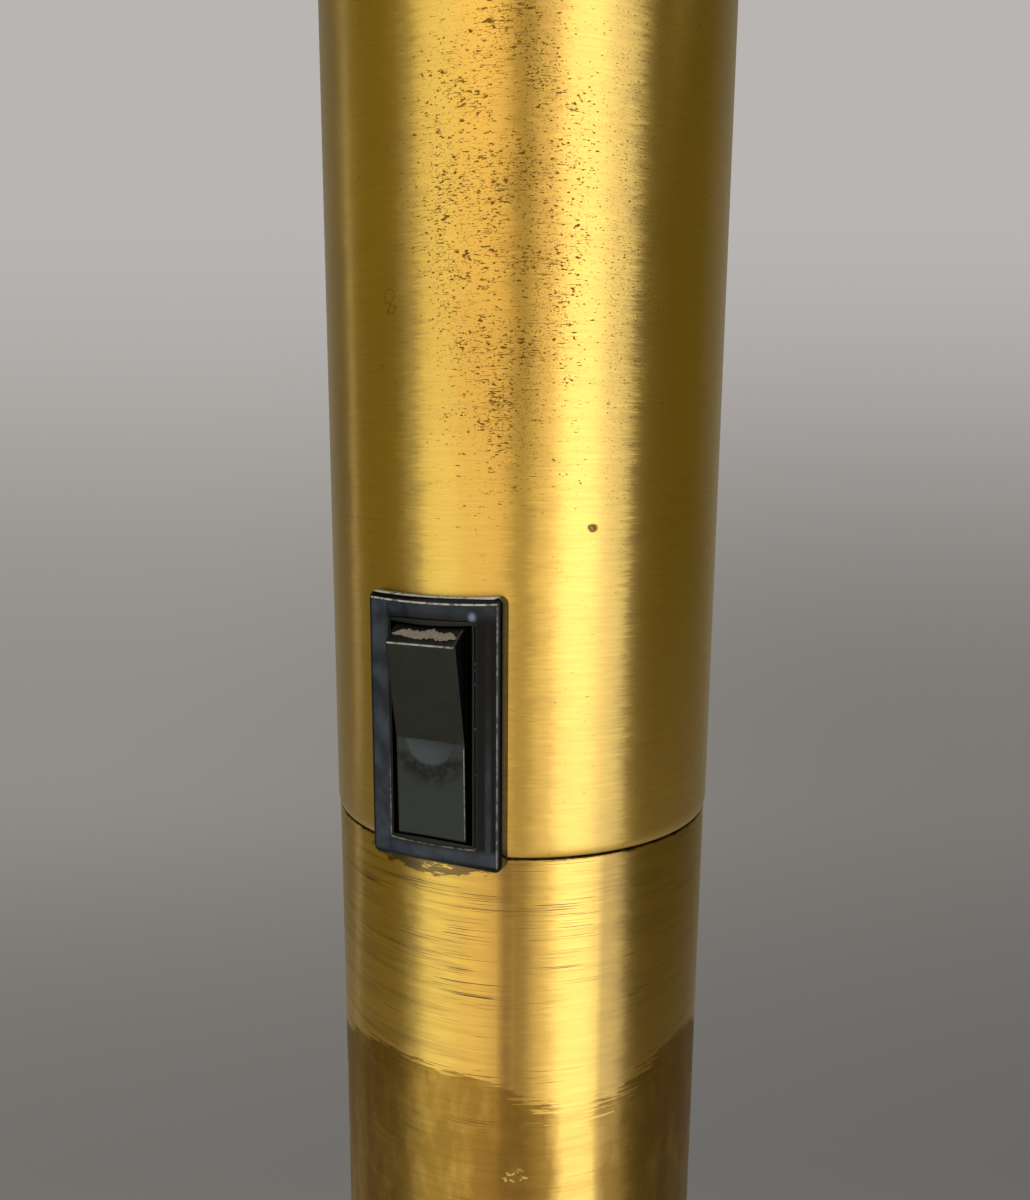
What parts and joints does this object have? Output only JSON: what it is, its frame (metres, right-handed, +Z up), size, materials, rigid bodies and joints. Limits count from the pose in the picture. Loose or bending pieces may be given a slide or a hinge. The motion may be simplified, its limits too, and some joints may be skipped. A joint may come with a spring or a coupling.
{
  "type": "tension pole lamp",
  "caption": "Brass floor-to-ceiling tension pole lamp: round column with a rocker switch across its joint, spring-loaded telescopic top and tilting spot heads.",
  "frame": {"origin": "on the floor, in the middle of the foot's rubber pad", "axes": "+Z up the column, -Y to the front, where the switch is"},
  "size_m": [0.4573, 0.2555, 2.4527],
  "materials": {
    "brushed_brass": "brushed round the tube under aged lacquer, with small brown pits",
    "worn_brass": "olive-brown patina with a rubbed bright band under the joint",
    "shade_brass": "spun brass outside, white enamel inside",
    "zinc_steel": "zinc plated",
    "spring_steel": "oiled spring wire",
    "gloss_black": "gloss black moulding",
    "satin_black": "satin black moulding",
    "phenolic": "black phenolic",
    "rubber": "black rubber",
    "nylon": "natural nylon",
    "copper": "stamped copper",
    "terminal_brass": "stamped brass",
    "lead_insulation": "PVC insulation over stranded copper",
    "cloth_tape": "friction tape",
    "bulb_cap": "threaded lamp cap",
    "frosted_glass": "frosted face, silvered cone"
  },
  "bodies": {
    "column": {"floor_pad": "rubber", "foot_flange": "brushed_brass", "foot_plug": "zinc_steel", "foot_screw": "zinc_steel", "lower_tube": "worn_brass", "cord_grommet": "rubber", "upper_tube": "brushed_brass", "switch_bezel": "gloss_black", "switch_housing": "gloss_black", "common_terminal": "terminal_brass", "line_terminal": "terminal_brass", "push_on_connector": "terminal_brass", "switched_lead": "lead_insulation", "splice_wrap": "cloth_tape", "head_feed_leads": "lead_insulation", "head_nipples": "zinc_steel", "nipple_nuts": "zinc_steel", "head_saddles": "brushed_brass", "top_bushing": "brushed_brass", "clamp_shoe": "nylon"},
    "rocker": {"switch_rocker": "satin_black", "rocker_plunger": "nylon", "rocker_spring": "spring_steel"},
    "contact": {"contact_lever": "copper"},
    "thumbscrew": {"thumbscrew": "brushed_brass"},
    "extension": {"extension_tube": "brushed_brass", "extension_guide": "nylon", "spring_seat": "zinc_steel", "seat_pin": "zinc_steel", "plunger_guide": "brushed_brass", "tension_spring": "spring_steel"},
    "plunger": {"plunger_foot": "zinc_steel", "plunger_tube": "brushed_brass", "ceiling_plug": "zinc_steel", "ceiling_cup": "brushed_brass", "ceiling_screw": "zinc_steel", "ceiling_pad": "rubber"},
    "head_1_arm": {"head_1_fork": "brushed_brass", "head_1_pivot_screw": "worn_brass"},
    "head_1_spot": {"head_1_knuckle": "brushed_brass", "head_1_shade": "shade_brass", "head_1_socket": "phenolic", "head_1_bulb_base": "bulb_cap", "head_1_bulb": "frosted_glass"},
    "head_2_arm": {"head_2_fork": "brushed_brass", "head_2_pivot_screw": "worn_brass"},
    "head_2_spot": {"head_2_knuckle": "brushed_brass", "head_2_shade": "shade_brass", "head_2_socket": "phenolic", "head_2_bulb_base": "bulb_cap", "head_2_bulb": "frosted_glass"},
    "head_3_arm": {"head_3_fork": "brushed_brass", "head_3_pivot_screw": "worn_brass"},
    "head_3_spot": {"head_3_knuckle": "brushed_brass", "head_3_shade": "shade_brass", "head_3_socket": "phenolic", "head_3_bulb_base": "bulb_cap", "head_3_bulb": "frosted_glass"}
  },
  "joints": [
    {"name": "rocker_tilt", "type": "hinge", "parent": "column", "child": "rocker", "pos_m": [-0.00798, -0.01845, 0.93395], "axis": [0.9178, -0.3971, 0], "range_deg": [-12, 0]},
    {"name": "contact_tilt", "type": "hinge", "parent": "column", "child": "contact", "pos_m": [-0.00465, -0.01074, 0.93395], "axis": [0.9178, -0.3971, 0], "range_deg": [0, 10]},
    {"name": "thumbscrew_turn", "type": "hinge", "parent": "column", "child": "thumbscrew", "pos_m": [0, 0, 1.8402], "axis": [0.866, -0.5, 0], "range_deg": [0, 540]},
    {"name": "extension_slide", "type": "slide", "parent": "column", "child": "extension", "axis": [0, 0, 1], "range_m": [-0.08, 0.09]},
    {"name": "plunger_slide", "type": "slide", "parent": "extension", "child": "plunger", "axis": [0, 0, 1], "range_m": [-0.06, 0], "stiffness_N_per_m": 1500, "springref_m": 0.03, "deforming": ["tension_spring"]},
    {"name": "head_1_turn", "type": "hinge", "parent": "column", "child": "head_1_arm", "pos_m": [0.074, 0, 1.17], "axis": [1, 0, 0], "range_deg": [-170, 170]},
    {"name": "head_1_tilt", "type": "hinge", "parent": "head_1_arm", "child": "head_1_spot", "pos_m": [0.074, 0, 1.17], "axis": [0, -1, 0], "range_deg": [-50, 120]},
    {"name": "head_2_turn", "type": "hinge", "parent": "column", "child": "head_2_arm", "pos_m": [-0.074, 0, 1.38], "axis": [-1, 0, 0], "range_deg": [-170, 170]},
    {"name": "head_2_tilt", "type": "hinge", "parent": "head_2_arm", "child": "head_2_spot", "pos_m": [-0.074, 0, 1.38], "axis": [0, 1, 0], "range_deg": [-60, 110]},
    {"name": "head_3_turn", "type": "hinge", "parent": "column", "child": "head_3_arm", "pos_m": [0, -0.074, 1.59], "axis": [0, -1, 0], "range_deg": [-170, 170]},
    {"name": "head_3_tilt", "type": "hinge", "parent": "head_3_arm", "child": "head_3_spot", "pos_m": [0, -0.074, 1.59], "axis": [-1, 0, 0], "range_deg": [-40, 130]}
  ],
  "couplings": [
    {"joint": "contact_tilt", "follows": "rocker_tilt", "ratio": -0.8333}
  ]
}
